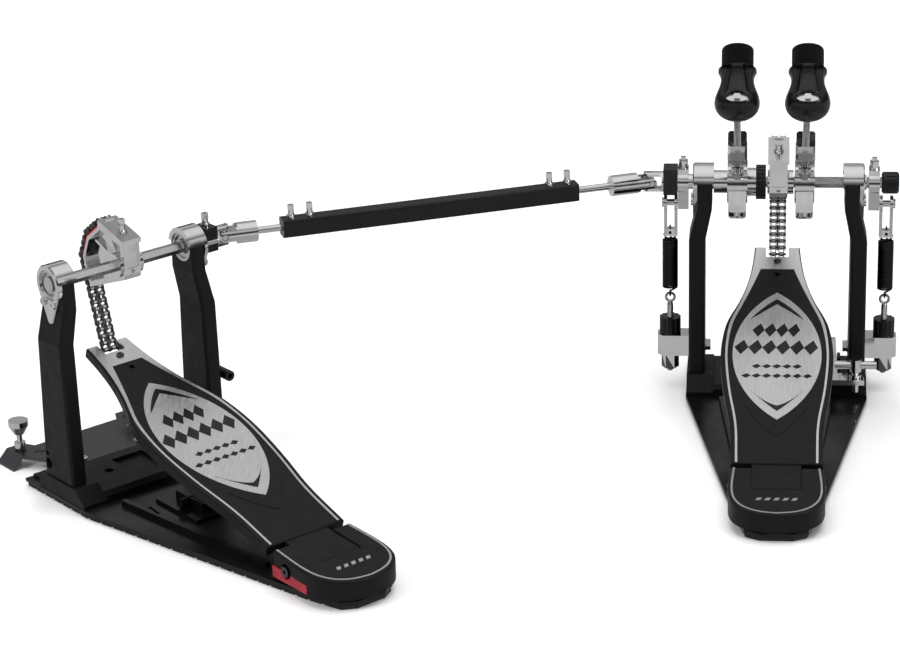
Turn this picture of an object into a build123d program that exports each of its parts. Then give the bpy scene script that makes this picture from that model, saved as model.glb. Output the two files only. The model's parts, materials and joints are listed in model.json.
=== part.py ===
"""Double bass drum pedal: a main pedal with two beaters, a slave pedal and the drive shaft between them.

Frame: millimetres, +Z up. X runs along the main axle to the player's right, +Y points to the drum, and
the origin is on the floor under the middle of the main axle. The slave pedal is drawn in the same local
frame and then turned and moved to the player's left.
"""
from build123d import *
import math
import os

# ---------------------------------------------------------------- driving dimensions
AXLE_HEIGHT = 202.0
BEND = 22.5                   # angle in each universal joint, seen from above
SLAVE_TURN = 2 * BEND
MAIN_JOINT_X = -118.0         # centre of the universal joint beside the main pedal
SLAVE_JOINT_X = 105.0         # the same, in the slave pedal's own frame
SHAFT_SPAN = 399.0            # from joint centre to joint centre
FIT = 0.08                    # radial play of a running fit
GAP = 0.3                     # play between moving pieces that are not a fit

SOLE_TOP = 4.0
PLATE_TOP = 7.0
CROSSBAR_TOP = 16.0
LEDGE_TOP = 9.5
FOOT_TOP = 22.0
BASE_HALF = 83.0              # half width of the base under the posts
BASE_FRONT = 54.0
CROSSBAR_FRONT = 34.0
FOOT_BACK = -40.0
HEEL_TOP = 32.3               # at the heel plate's front edge; its top falls towards the back
HEEL_FALL = 4.0
HEEL_UNDERSIDE = 9.5
HEEL_FRONT = -257.0
# right half of the heel plate's outline, from the front to the middle of the back
HEEL_OUTLINE = [
    (39.2, -257), (40.4, -275), (41.0, -292), (40.2, -307), (37.2, -318.5),
    (31.0, -328), (22.0, -335), (11.0, -338.9), (0, -340),
]

POST_IN, POST_OUT = 66.0, 81.0          # lower part of a post
NECK_IN, NECK_OUT = 60.0, 73.5          # upper part, cranked inwards
POST_ROUNDING = 3.0
CAP_OUT = 77.5
CAP_RADIUS = 17.5
CAP_TIP = 170.0                # centre of the small round at the cap's lower end
SEAT_HEIGHT = AXLE_HEIGHT + 3.0         # where the black post ends and the cap's hood begins
POST_DEPTH_LOW, POST_DEPTH_HIGH = 22.0, 17.2    # half depth at the foot and under the hood
BEARING_RADIUS = 13.0
BEARING_RECESS = 10.6
JOURNAL_RADIUS = 6.9
PILOT_RADIUS = 4.5
HEX_FLATS = 9.0

HINGE_Y, HINGE_Z = -275.0, 20.0
HINGE_RADIUS = 3.0
HINGE_HEAD = 4.6
SCREW_RECESS = 6.6
INSERT_SIDE = [(-303, 9.5), (-303, 17.5), (-257, 19.5), (-257, 9.5)]
INSERT_OUT = 40.8
BOARD_START_Y = -249.0
BOARD_LENGTH = 299.0
BOARD_THICK = 9.0
MAIN_BOARD_ANGLE = 18.3
SLAVE_BOARD_ANGLE = 16.6
TONGUE_HALF = 21.0
# half widths of the footboard at distances from the hinge line
BOARD_PROFILE = [
    (0, 39.5), (50, 40.8), (100, 47.2), (150, 50.0), (190, 45.0), (225, 32.5), (262, 24.2), (299, 20.8),
]
# how far the bright edging's outer and inner borders lie inside the board's edge
EDGING_OUTER = [(0, 4.0), (150, 4.0), (190, 3.0), (232, 1.4), (299, 1.2)]
EDGING_INNER = [(0, 6.0), (150, 6.0), (190, 5.8), (232, 5.0), (250, 6.6), (266, 8.4), (299, 8.4)]
BORDER_STEPS = 14
NOTCH_HALF, NOTCH_DEPTH = 10.5, 15.0
PANEL_END = 266.0              # where the black panel gives way to the bright toe
TOE_SCREW, TOE_HOLE = 276.9, 258.6
INLAY_TOP, INLAY_BOTTOM = 231.6, 56.8
INLAY_HALF, INLAY_MIDDLE = 39.5, 144.0

CHAIN_WIDTH = 15.0
CHAIN_PITCH = 6.35
PLATE_RADIUS = 2.9            # rounded end of a chain plate
# the chain's hinge points on the cam, from the axle's centre (Y, Z)
CHAIN_TOP = (27.0, 33.0)
CHAIN_MID = (47.0, 18.0)
CHAIN_LOW = (58.0, -6.0)
MAIN_TOE_PIN = (30.0, -81.0)
SLAVE_TOE_PIN = (33.0, -89.0)

BEATER_LEAN = 50.0
STEM_OFFSET = 12.0            # the stem passes this far to the drum side of the axle
STEM_RADIUS = 3.1
HEAD_HEIGHT = 156.5           # along the stem, from the axle
LEFT_HUB = (-46.3, -28.0)
RIGHT_HUB = (14.6, 32.4)

ROCKER_ARM = 20.0             # axle to hook pin
ROCKER_IN, ROCKER_OUT = 81.6, 91.2
SPRING_X = 98.5
SPRING_RADIUS = 7.3
SPRING_LOW, SPRING_HIGH = 98.0, 147.0
EYE_HEIGHT = 93.0             # cross bar of the tension rod's eye
EYE_PIN = 1.4
BRACKET_LOW, BRACKET_HIGH = 34.0, 54.0
ROD_RADIUS = 3.0
KEY_X = 88.0                  # tuning key clipped to the slave pedal's right post

# stabiliser plate of the slave pedal
STABILISER_TOP = 12.0
STABILISER_HALF_OUTLINE = [(46, 34.3), (54, 66), (66, 86), (66, 112), (50, 112), (44, 100)]
WING_OUT, WING_WIDTH = 76.0, 26.0
SPUR_X, SPUR_Y = 58.0, 102.0
SPUR_RADIUS = 2.6

# hoop clamp of the main pedal: a rocking lever and its T-handled screw
LEVER_PIVOT = (6.0, 24.5)     # Y, Z
LEVER_PIN = 2.5
LEVER_IN, LEVER_OUT = 46.0, 56.0
LEVER_SIDE = [
    (-50, 23), (-50, 28), (0, 29), (12, 29), (44, 30), (62, 26),
    (62, 20), (44, 23), (14, 21), (-2, 21), (-30, 23),
]
LUG_WIDTH = 3.0
TEE_X, TEE_Y, TEE_HEIGHT = 72.0, -42.0, 40.0
TEE_SCREW = 3.2
TEE_ARM = 19.0

YOKE_RADIUS = 9.5
YOKE_ARM, YOKE_SLOT, YOKE_FLOOR = 4.8, 5.8, 12.0
CROSS_PIN = 2.4
PIN_PLAY = 0.5
TUBE_SIDE = 16.5
TUBE_START, TUBE_END = 70.0, 346.0
SHAFT_ROD_RADIUS = 3.2

os.makedirs("parts", exist_ok=True)

turn = math.radians(SLAVE_TURN)
bend = math.radians(BEND)
SLAVE_X = MAIN_JOINT_X - SHAFT_SPAN * math.cos(bend) - SLAVE_JOINT_X * math.cos(turn)
SLAVE_Y = -SHAFT_SPAN * math.sin(bend) - SLAVE_JOINT_X * math.sin(turn)
MAIN = Location((0, 0, 0))
SLAVE = Location((SLAVE_X, SLAVE_Y, 0), (0, 0, SLAVE_TURN))
PEDALS = (MAIN, SLAVE)
# the drive shaft is drawn along +X from the main joint and then placed
SHAFT = Location((MAIN_JOINT_X, 0, AXLE_HEIGHT), (0, 0, 180 + BEND))


# ---------------------------------------------------------------- drawing helpers
def block(x0, x1, y0, y1, z0, z1):
    """A box between two corners."""
    return Pos((x0 + x1) / 2, (y0 + y1) / 2, (z0 + z1) / 2) * Box(x1 - x0, y1 - y0, z1 - z0)


def rod_x(radius, x0, x1, y=0.0, z=AXLE_HEIGHT):
    return Pos((x0 + x1) / 2, y, z) * Rot(0, 90, 0) * Cylinder(radius, x1 - x0)


def rod_y(radius, y0, y1, x=0.0, z=0.0):
    return Pos(x, (y0 + y1) / 2, z) * Rot(90, 0, 0) * Cylinder(radius, y1 - y0)


def rod_z(radius, z0, z1, x=0.0, y=0.0):
    return Pos(x, y, (z0 + z1) / 2) * Cylinder(radius, z1 - z0)


def hex_x(flats, x0, x1, y=0.0, z=AXLE_HEIGHT):
    """A hexagonal bar along X, measured across its flats."""
    across = Plane((x0, y, z), x_dir=(0, 1, 0), z_dir=(1, 0, 0))
    return extrude(across * RegularPolygon(flats / 2, 6, major_radius=False), x1 - x0)


def hex_z(flats, z0, z1, x=0.0, y=0.0):
    return extrude(Pos(x, y, z0) * RegularPolygon(flats / 2, 6, major_radius=False), z1 - z0)


def prism_yz(points, x0, x1, z_shift=0.0):
    outline = make_face(Polyline(*[(x0, y, z + z_shift) for y, z in points], close=True))
    return extrude(outline, x1 - x0, dir=(1, 0, 0))


def prism_xy(points, z0, z1):
    outline = make_face(Polyline(*[(x, y, z0) for x, y in points], close=True))
    return extrude(outline, z1 - z0, dir=(0, 0, 1))


def mirrored(solid):
    """The same piece on the other side of the pedal."""
    return mirror(solid, about=Plane.YZ)


def key_bolt_z(x, y, z, radius=3.2, length=12.0):
    """A square-headed key bolt that stands on z, with its round flange."""
    flange = rod_z(radius + 1.2, z, z + 2.5, x, y)
    shank = rod_z(radius, z + 2.5, z + length - 5.0, x, y)
    head = block(x - 2.4, x + 2.4, y - 2.4, y + 2.4, z + length - 5.0, z + length)
    return flange + shank + head


def save(name, *solids):
    """Write one node; several separate solids make a group."""
    flat = []
    for item in solids:
        flat.extend(item.solids())
    shape = flat[0] if len(flat) == 1 else Compound(children=flat)
    export_step(shape, f"parts/{name}.step")


# ---------------------------------------------------------------- base of one pedal
def base_outline(inset, front=BASE_FRONT):
    """Left half mirrored: wide under the posts, narrow and round at the heel."""
    half = BASE_HALF - inset
    right = [(half, front - inset), (half, FOOT_BACK - 2), (36 - inset, -296), (27 - inset, -328), (14, -336 + inset)]
    left = [(-x, y) for x, y in reversed(right)]
    return right + left


def base_plate():
    plate = prism_xy(base_outline(0), SOLE_TOP, PLATE_TOP)
    for side in (-1, 1):
        rib = [(side * 47, -52), (side * 52, -52), (side * 33, -236), (side * 28, -236)]
        plate += prism_xy(rib, PLATE_TOP, PLATE_TOP + 4.5)
    plate += block(-26, 26, -128, -66, PLATE_TOP, PLATE_TOP + 3)
    plate += block(-13, 13, -118, -78, PLATE_TOP + 3, PLATE_TOP + 11)
    plate += rod_x(4.0, -22, 22, -98, PLATE_TOP + 7.5)
    for side in (-1, 1):
        slot = Pos(side * 40, -84, 0) * Rot(0, 0, side * 6) * Box(7, 26, 40)
        plate -= slot
    return plate


def rubber_sole():
    sole = prism_xy(base_outline(1.5), 0, SOLE_TOP)
    for step in range(26):
        y = BASE_FRONT - 14 - step * 14
        sole -= block(-BASE_HALF, BASE_HALF, y - 1.5, y + 1.5, -1, 1.4)
    return sole


def crossbar():
    bar = block(-60, 60, FOOT_BACK + 2, CROSSBAR_FRONT, PLATE_TOP, CROSSBAR_TOP)
    front_edges = bar.edges().filter_by(Axis.X).group_by(Axis.Z)[-1]
    bar = chamfer(front_edges, 4.0)
    bar += block(-76, 76, CROSSBAR_FRONT, BASE_FRONT - 2, PLATE_TOP, LEDGE_TOP)
    foot_side = [(FOOT_BACK, PLATE_TOP), (FOOT_BACK, 10), (-26, FOOT_TOP), (25, FOOT_TOP), (31, 17), (31, PLATE_TOP)]
    foot = prism_yz(foot_side, 58, BASE_HALF - 0.5)
    bar += foot + mirrored(foot)
    for side in (-1, 1):
        bar -= rod_z(4.0, PLATE_TOP - 1, CROSSBAR_TOP + 1, side * 30, 0)
    bar -= block(-16, 16, -22, 18, 12.5, CROSSBAR_TOP + 1)
    return bar


def post():
    """The right-hand post, cranked inwards below the bearing."""
    front = Polyline(
        (POST_IN, 0, FOOT_TOP), (POST_OUT, 0, FOOT_TOP), (POST_OUT, 0, 150), (NECK_OUT, 0, 182),
        (NECK_OUT, 0, SEAT_HEIGHT), (NECK_IN, 0, SEAT_HEIGHT), (NECK_IN, 0, 180), (POST_IN, 0, 150), close=True,
    )
    front_face = make_face(front)
    slab = extrude(front_face, 30, dir=(0, 1, 0), both=True)
    low, high = POST_DEPTH_LOW, POST_DEPTH_HIGH
    side = [(-low, FOOT_TOP), (low, FOOT_TOP), (high, SEAT_HEIGHT), (-high, SEAT_HEIGHT)]
    solid = slab & prism_yz(side, 50, 90)
    solid = solid.solids()[0]
    upright = solid.edges().filter_by(lambda e: abs((e % 0.5).Z) > 0.7)
    solid = fillet(upright, POST_ROUNDING)
    solid -= rod_x(BEARING_RADIUS, 50, 90)
    solid -= cap_shield(NECK_OUT, 90)
    solid -= rod_x(5.0, POST_OUT - 6, POST_OUT + 1, 15.0, 33.4)
    solid -= rod_x(2.2, POST_OUT - 6, POST_OUT + 1, 16.0, 43.0)
    return solid


def cap_shield(x0, x1):
    """Shield outline of the post's cap: round over the axle, narrowing to a tip below it."""
    upper = (Pos(0, AXLE_HEIGHT, 0) * CenterArc((0, 0), CAP_RADIUS, 0, 360)).edges()
    tip = (Pos(0, CAP_TIP, 0) * CenterArc((0, 0), 4.0, 0, 360)).edges()
    on_side = Plane((x0, 0, 0), x_dir=(0, 1, 0), z_dir=(1, 0, 0))
    return extrude(on_side * make_hull(upper + tip), x1 - x0)


def post_cap():
    """Polished cap: an outer shield plate with a hood over the post's top."""
    plate = cap_shield(NECK_OUT, CAP_OUT)
    outer_edges = plate.faces().sort_by(Axis.X)[-1].edges()
    plate = chamfer(outer_edges, 1.0)
    hood = rod_x(CAP_RADIUS, NECK_IN - 1.4, NECK_OUT)
    hood = hood & block(0, 90, -40, 40, SEAT_HEIGHT, AXLE_HEIGHT + 40)
    cap = plate + hood.solids()[0]
    return cap - rod_x(BEARING_RADIUS, 50, 90)


def bearing():
    ring = rod_x(BEARING_RADIUS, NECK_IN, CAP_OUT - 1.5)
    ring -= rod_x(BEARING_RECESS, CAP_OUT - 4, CAP_OUT)
    ring -= rod_x(BEARING_RECESS, NECK_IN - 1, NECK_IN + 2)
    return ring - rod_x(JOURNAL_RADIUS + FIT, 50, 90)


def heel_curve(inset, z, side):
    """One side of the heel plate's outline, from the front to the middle of its back."""
    middle = (HEEL_FRONT + HEEL_OUTLINE[-1][1]) / 2
    depth = HEEL_OUTLINE[-1][1] - middle
    points = []
    for x, y in HEEL_OUTLINE:
        back_share = max(0.0, (y - middle) / depth)
        points.append((side * x * (1 - inset / HEEL_OUTLINE[0][0]), y + inset * back_share, z))
    return Spline(*points)


def heel_slab(inset, low, high):
    right, left = heel_curve(inset, low, 1), heel_curve(inset, low, -1)
    face = make_face([right, left, Line(left @ 0, right @ 0)])
    return extrude(face, high - low, dir=(0, 0, 1))


def heel_plate():
    """Thick plate whose top falls to the back, notched for the footboard's tongue and the insert."""
    upper = heel_slab(0, HEEL_UNDERSIDE, HEEL_TOP + 5)
    slope = Pos(0, HEEL_FRONT, HEEL_TOP) * Rot(HEEL_FALL, 0, 0)
    upper -= slope * block(-60, 60, -120, 20, 0, 20)
    upper = fillet(upper.faces().filter_by(lambda f: f.normal_at().Z > 0.9).sort_by(Axis.Z)[-1].edges(), 1.8)
    plate = upper + heel_slab(4.0, PLATE_TOP, HEEL_UNDERSIDE)
    plate -= block(-TONGUE_HALF - 0.5, TONGUE_HALF + 0.5, -296.4, HEEL_FRONT + 1, 10.0, HEEL_TOP + 1)
    for low, high in ((36.5, 50), (-50, -36.5)):
        plate -= prism_yz(INSERT_SIDE, low, high)
        plate -= rod_x(SCREW_RECESS, low, high, HINGE_Y, HINGE_Z)
    return plate - rod_x(HINGE_RADIUS, -50, 50, HINGE_Y, HINGE_Z)


def heel_insert():
    """Red insert under the hinge screw, right-hand side."""
    insert = prism_yz(INSERT_SIDE, 36.5, INSERT_OUT)
    return insert - rod_x(SCREW_RECESS + 0.2, 30, 50, HINGE_Y, HINGE_Z)


def hinge_screw():
    shank = rod_x(HINGE_RADIUS, -40.0, 40.0, HINGE_Y, HINGE_Z)
    heads = rod_x(HINGE_HEAD, 36.5, 42.0, HINGE_Y, HINGE_Z) + rod_x(HINGE_HEAD, -42.0, -36.5, HINGE_Y, HINGE_Z)
    sockets = hex_x(3.4, 40.5, 43, HINGE_Y, HINGE_Z) + hex_x(3.4, -43, -40.5, HINGE_Y, HINGE_Z)
    return shank + heads - sockets


# ---------------------------------------------------------------- footboard
def smooth_value(table, distance):
    """Value at a distance on the smooth curve through a table of (distance, value) pairs."""
    if isinstance(table, (int, float)):
        return table
    last = len(table) - 1
    i = max(k for k in range(last) if table[k][0] <= distance)
    (s0, v0), (s1, v1) = table[i], table[i + 1]
    before, after = table[max(i - 1, 0)], table[min(i + 2, last)]
    span = s1 - s0
    slope0 = (v1 - before[1]) / (s1 - before[0]) * span
    slope1 = (after[1] - v0) / (after[0] - s0) * span
    t = (distance - s0) / span
    return (
        v0 * (2 * t**3 - 3 * t**2 + 1)
        + slope0 * (t**3 - 2 * t**2 + t)
        + v1 * (3 * t**2 - 2 * t**3)
        + slope1 * (t**3 - t**2)
    )


def border(inset, start, end, height, side):
    """Smooth line along one side of the board, an inset in from its edge."""
    points = []
    for i in range(BORDER_STEPS + 1):
        distance = start + (end - start) * i / BORDER_STEPS
        half = smooth_value(BOARD_PROFILE, distance) - smooth_value(inset, distance)
        points.append((side * half, distance, height))
    return Spline(*points)


def board_face(inset, start, end, height):
    """A flat face in the board's own plane: X across, Y along, Z out of the board."""
    right = border(inset, start, end, height, 1)
    left = border(inset, start, end, height, -1)
    low = Line(left @ 0, right @ 0)
    high = Line(left @ 1, right @ 1)
    return make_face([right, high, left, low])


def inlay_face(inset, height):
    """Pointed oval plate set into the board."""
    low, high = INLAY_BOTTOM + inset * 1.5, INLAY_TOP - inset * 1.5
    half = INLAY_HALF - inset
    shape = [(0, low), (0.62, low + 30), (1, INLAY_MIDDLE), (0.66, high - 32), (0, high)]
    right = Spline(*[(half * share, distance, height) for share, distance in shape])
    left = Spline(*[(-half * share, distance, height) for share, distance in shape])
    return make_face([right, left])


def board_location(angle):
    return Location((0, BOARD_START_Y, HEEL_TOP), (angle, 0, 0))


def footboard_trim():
    """Bright edging with the toe's bright end, the pointed plate and the toe screw, flush in the board."""
    edging = extrude(board_face(EDGING_OUTER, 1.5, BOARD_LENGTH - 1, -1.2), 1.5)
    edging -= extrude(board_face(EDGING_INNER, 0.5, PANEL_END, -2), 3)
    edging -= block(-NOTCH_HALF, NOTCH_HALF, BOARD_LENGTH - NOTCH_DEPTH, BOARD_LENGTH + 1, -5, 5)
    edging -= rod_z(3.4, -5, 5, 0, TOE_SCREW)
    plate = extrude(inlay_face(0, -1.2), 1.5)
    screw = rod_z(3.4, -6, 1.6, 0, TOE_SCREW) - block(-0.6, 0.6, TOE_SCREW - 7, TOE_SCREW + 7, 0.9, 3)
    return edging, plate, screw


def footboard(angle):
    """Black board with an edge wall underneath, and the tongue that the hinge screw passes through."""
    board = extrude(board_face(0, 0, BOARD_LENGTH, -BOARD_THICK), BOARD_THICK)
    board = fillet(board.faces().sort_by(Axis.Z)[-1].edges(), 1.6)
    board -= extrude(board_face(5.0, 14, BOARD_LENGTH - 38, -BOARD_THICK - 1), 5.0)
    board -= block(-NOTCH_HALF, NOTCH_HALF, BOARD_LENGTH - NOTCH_DEPTH, BOARD_LENGTH + 1, -20, 5)
    trim = footboard_trim()
    for piece in trim:
        board -= piece
    board -= rod_z(2.6, -BOARD_THICK - 1, 1, 0, TOE_HOLE)
    placed = board_location(angle) * board
    ahead = BOARD_START_Y + 12
    tongue_side = [
        (-292, 14.0), (-294.5, 18), (-294.5, 26), (-292.8, 28.8),
        (ahead - 12, 31.2), (ahead, 33.5), (ahead, 26), (-258, 14),
    ]
    tongue = prism_yz(tongue_side, -TONGUE_HALF, TONGUE_HALF)
    placed += tongue
    placed -= rod_x(HINGE_RADIUS + FIT, -60, 60, HINGE_Y, HINGE_Z)
    return placed, [board_location(angle) * piece for piece in trim]


# ---------------------------------------------------------------- cam and chain
def cam_metal(bore):
    """Faceted quadrant with a front plate, a sloping top plate, a lower flange and two spokes."""
    z = AXLE_HEIGHT
    half = 8.2
    front = prism_yz([(-14, -6), (-9, -6), (-9, 24), (-14, 24)], -half, half, z)
    top = prism_yz([(-15, 21.5), (-15, 25.5), (22, 36), (23, 29), (-9, 21)], -half - 1.4, half + 1.4, z)
    flange = prism_yz([(-14, -5), (-13, -10), (42.5, -31), (44.5, -27), (-9, -5)], -half, half, z)
    rim_in = [(22, 26.6), (40.6, 13), (49.2, -5.6), (44.8, -20), (42, -27)]
    rim_out = [(24, 29.1), (43, 14.9), (52.2, -5.2), (47.5, -21), (44.5, -28.5)]
    rim = prism_yz(rim_in + rim_out[::-1], -half, half, z)
    web_side = [(-10, -8), (-10, 23), (22, 30), (41, 13.5), (49.8, -5.4), (45, -20), (43, -28)]
    web = prism_yz(web_side, -1.2, 1.2, z)
    hub = rod_x(11.0, -10.0, 13.6)
    body = front + top + flange + rim + web + hub
    for direction in (20, 62):
        spoke = Pos(0, 0, z) * Rot(direction, 0, 0) * block(-4.5, 4.5, 9, 40, -1.3, 1.3)
        body += spoke
    body -= rod_y(2.0, -20, -11, 0, z - 3.2)
    panel = block(-6.2, 6.2, -15, -13.2, z - 0.5, z + 20)
    body -= fillet(panel.edges().filter_by(Axis.Y), 2.0)
    return body - bore


def cam_felt():
    """Felt strip on the rim's facets, under the chain."""
    z = AXLE_HEIGHT
    inner = [(24.0, 29.1), (43.0, 14.9), (52.2, -5.2)]
    outer = [(25.0, 30.4), (44.3, 15.9), (53.7, -4.6)]
    return prism_yz(inner + outer[::-1], -7.6, 7.6, z)


def along(start, end, count):
    """Evenly spaced points from start to end, both included."""
    return [
        (start[0] + (end[0] - start[0]) * i / count, start[1] + (end[1] - start[1]) * i / count)
        for i in range(count + 1)
    ]


def chain_plate(a, b, x0, x1):
    """One figure-of-eight link plate from pin a to pin b."""
    mid_angle = math.degrees(math.atan2(b[1] - a[1], b[0] - a[0]))
    length = math.dist(a, b)
    centre = ((a[0] + b[0]) / 2, (a[1] + b[1]) / 2)
    bar = Box(x1 - x0, length, 4.0)
    plate = Pos((x0 + x1) / 2, centre[0], centre[1] + AXLE_HEIGHT) * Rot(mid_angle, 0, 0) * bar
    for y, z in (a, b):
        plate += rod_x(PLATE_RADIUS, x0, x1, y, z + AXLE_HEIGHT)
    return plate


def chain_section(start, end, first="pin", last="pin"):
    """A run of links; an end is a pin, or the forked eye that takes the next piece's pin."""
    count = max(2, round(math.dist(start, end) / CHAIN_PITCH))
    points = along(start, end, count)
    third = CHAIN_WIDTH / 2
    bars = [(-third, -third + 1.5), (-0.9, 0.9), (third - 1.5, third)]
    inner_bars = [(-third + 1.8, -third + 3.2), (-2.6, -1.2), (1.2, 2.6), (third - 3.2, third - 1.8)]
    pieces = []
    for i, (a, b) in enumerate(zip(points, points[1:])):
        plates = inner_bars if i % 2 == 0 else bars
        pieces += [chain_plate(a, b, x0, x1) for x0, x1 in plates]
    for i, (y, z) in enumerate(points):
        if (i == 0 and first == "eye") or (i == count and last == "eye"):
            continue
        pieces.append(rod_x(1.7, -third, third, y, z + AXLE_HEIGHT))
    solid = pieces[0]
    for piece in pieces[1:]:
        solid += piece
    if first == "eye":
        solid -= rod_x(1.7 + GAP, -20, 20, points[0][0], points[0][1] + AXLE_HEIGHT)
    if last == "eye":
        solid -= rod_x(1.7 + GAP, -20, 20, points[-1][0], points[-1][1] + AXLE_HEIGHT)
    return solid


# ---------------------------------------------------------------- beaters
def lean(solid):
    """From the upright beater's frame to the rest position, turned back about the axle."""
    return Pos(0, 0, AXLE_HEIGHT) * Rot(BEATER_LEAN, 0, 0) * solid


def beater_hub(x0, x1, bore):
    middle = (x0 + x1) / 2
    ring = rod_x(19.5, x0, x1, 0, 0)
    lobe = prism_yz([(0, -17), (-26, -10), (-33, -8), (-34, 0), (-33, 8), (-26, 10), (0, 17)], x0 + 1, x1 - 1)
    nose = lobe.edges().filter_by(lambda e: e.center().Y < -30 and abs((e % 0.5).X) < 0.1)
    lobe = fillet(nose, 3.0)
    neck = prism_yz([(0, 15), (4, 36), (20, 36), (21, 10)], middle - 5.5, middle + 5.5)
    head = block(middle - 8.4, middle + 8.4, STEM_OFFSET - 7.5, STEM_OFFSET + 7.5, 51, 75)
    head = chamfer(head.edges().filter_by(Axis.Z), 1.8)
    clamp = block(middle - 8.8, middle + 8.8, STEM_OFFSET - 11, STEM_OFFSET + 7.5, 34, 51)
    head += fillet(clamp.edges().filter_by(Axis.Z), 1.4)
    split = block(x0 - 1, x1 + 1, -40, -8, -0.7, 0.7)
    hub = ring + lobe + neck + head - split
    hub -= rod_z(STEM_RADIUS, 20, 80, middle, STEM_OFFSET)
    hub -= rod_y(3.3, -36, -30.5, middle, 4.5)
    return lean(hub) - bore


def beater_stem(x0, x1):
    return lean(rod_z(STEM_RADIUS, 24, HEAD_HEIGHT + 8, (x0 + x1) / 2, STEM_OFFSET))


def beater_head(x0, x1):
    """Turned plastic body: round at the back, waisted, with a flared collar that holds the felt."""
    middle = (x0 + x1) / 2
    outline = Spline((0, -3), (9.5, -1.5), (17.4, 4.5), (19.6, 12), (17.2, 22), (14.4, 32), (16.6, 40.5))
    collar = Polyline((16.6, 40.5), (16.6, 43), (13, 44), (0, 44), (0, -3))
    face = make_face([outline, collar])
    body = revolve(face, Axis.Y)
    body = Pos(middle, 0, HEAD_HEIGHT) * body
    pocket = Pos(middle, STEM_OFFSET, HEAD_HEIGHT + 10) * extrude(Ellipse(10.2, 5.9), 12)
    body -= pocket
    for side in (-1, 1):
        flute = Rot(0, 0, side * 8) * rod_y(7.0, -10, 16)
        body -= Pos(middle + side * 13.6, 27, HEAD_HEIGHT + 15.0) * flute
    body -= rod_z(STEM_RADIUS, 100, HEAD_HEIGHT + 8, middle, STEM_OFFSET)
    body -= rod_z(2.2, HEAD_HEIGHT + 8, HEAD_HEIGHT + 30, middle, STEM_OFFSET)
    return lean(body)


def beater_felt(x0, x1):
    disc = rod_y(13.9, 44, 64, (x0 + x1) / 2, HEAD_HEIGHT)
    disc = fillet(disc.edges().filter_by(GeomType.CIRCLE).sort_by(Axis.Y)[-1], 3.0)
    return lean(disc)


def beater_bolts(x0, x1):
    """Clamp screw of the hub, stem key screw and the key screw in the head."""
    middle = (x0 + x1) / 2
    socket = RegularPolygon(1.7, 6, major_radius=False)
    clamp = rod_y(3.3, -36, -30.5, middle, 4.5)
    clamp -= Pos(middle, -36, 4.5) * Rot(90, 0, 0) * extrude(socket, 2.5, both=True)
    stem_key = rod_y(3.4, -4.0, 1.0, middle, 28) + rod_y(4.6, -5.0, -4.0, middle, 28)
    stem_key += block(middle - 2.3, middle + 2.3, -10, -5, 25.7, 30.3)
    seat = HEAD_HEIGHT + 10
    head_key = rod_z(2.2, seat - 2, seat, middle, STEM_OFFSET)
    head_key += Pos(middle, STEM_OFFSET, seat) * extrude(Ellipse(9.7, 5.4), 1.5)
    head_key += rod_z(4.2, seat + 1, seat + 2.8, middle, STEM_OFFSET)
    head_key += block(middle - 2.4, middle + 2.4, STEM_OFFSET - 2.4, STEM_OFFSET + 2.4, seat + 2.5, seat + 7)
    return [lean(piece) for piece in (clamp, stem_key, head_key)]


# ---------------------------------------------------------------- spring assembly, right-hand side
def rocker(bore):
    """Clamp on the axle with an arm down to the hook's pin."""
    z = AXLE_HEIGHT
    arm = prism_yz([(-9, 4), (-6.5, -ROCKER_ARM), (6.5, -ROCKER_ARM), (9, 4)], ROCKER_IN, ROCKER_OUT, z)
    body = rod_x(11.0, ROCKER_IN, ROCKER_OUT) + arm + rod_x(6.5, ROCKER_IN, ROCKER_OUT, 0, z - ROCKER_ARM)
    body += block(ROCKER_IN, ROCKER_OUT, -7, 7, z + 4, z + 13.5)
    pin = rod_x(3.0, ROCKER_OUT, 104.0, 0, z - ROCKER_ARM)
    pin_head = rod_x(4.4, 104.3, 106.0, 0, z - ROCKER_ARM) + rod_x(3.0, 104.0, 104.3, 0, z - ROCKER_ARM)
    return body + pin + pin_head - bore


def rocker_key():
    middle = (ROCKER_IN + ROCKER_OUT) / 2
    top = AXLE_HEIGHT + 13.5
    key = rod_z(5.0, top, top + 1.5, middle) + rod_z(4.2, top + 1.5, top + 7.5, middle)
    return key + block(middle - 2.2, middle + 2.2, -2.2, 2.2, top + 7.5, top + 10.5)


def swing_hook():
    """Clevis that hangs from the rocker's pin and takes the spring's upper loop."""
    z = AXLE_HEIGHT - ROCKER_ARM
    side = [(-6, -1), (-3.5, -30), (3.5, -30), (6, -1)]
    near, far = ROCKER_OUT + 0.5, 104.0
    hook = block(near, far, -3.5, 3.5, z - 32, z - 25)
    for x0, x1 in ((near, near + 2.8), (far - 2.8, far)):
        hook += prism_yz(side, x0, x1, z) + rod_x(7.5, x0, x1, 0, z)
    hook -= rod_x(3.0 + FIT, 90, 110, 0, z)
    return hook - rod_y(1.6, -10, 10, SPRING_X, z - 28.5)


def spring():
    """Coil spring drawn as its outer sleeve, with a loop at each end."""
    coil = rod_z(SPRING_RADIUS, SPRING_LOW, SPRING_HIGH, SPRING_X)
    coil -= rod_z(SPRING_RADIUS - 2, SPRING_LOW + 2, SPRING_HIGH - 2, SPRING_X)
    upper = rod_z(1.1, SPRING_HIGH, AXLE_HEIGHT - ROCKER_ARM - 32.4, SPRING_X)
    loop = rod_x(2.7, SPRING_X - 1.2, SPRING_X + 1.2, 0, EYE_HEIGHT)
    lower = rod_z(1.1, EYE_HEIGHT + 2, SPRING_LOW, SPRING_X)
    pin_room = rod_x(EYE_PIN + GAP, SPRING_X - 9, SPRING_X + 9, 0, EYE_HEIGHT)
    return coil + upper + lower + loop - pin_room


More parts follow.
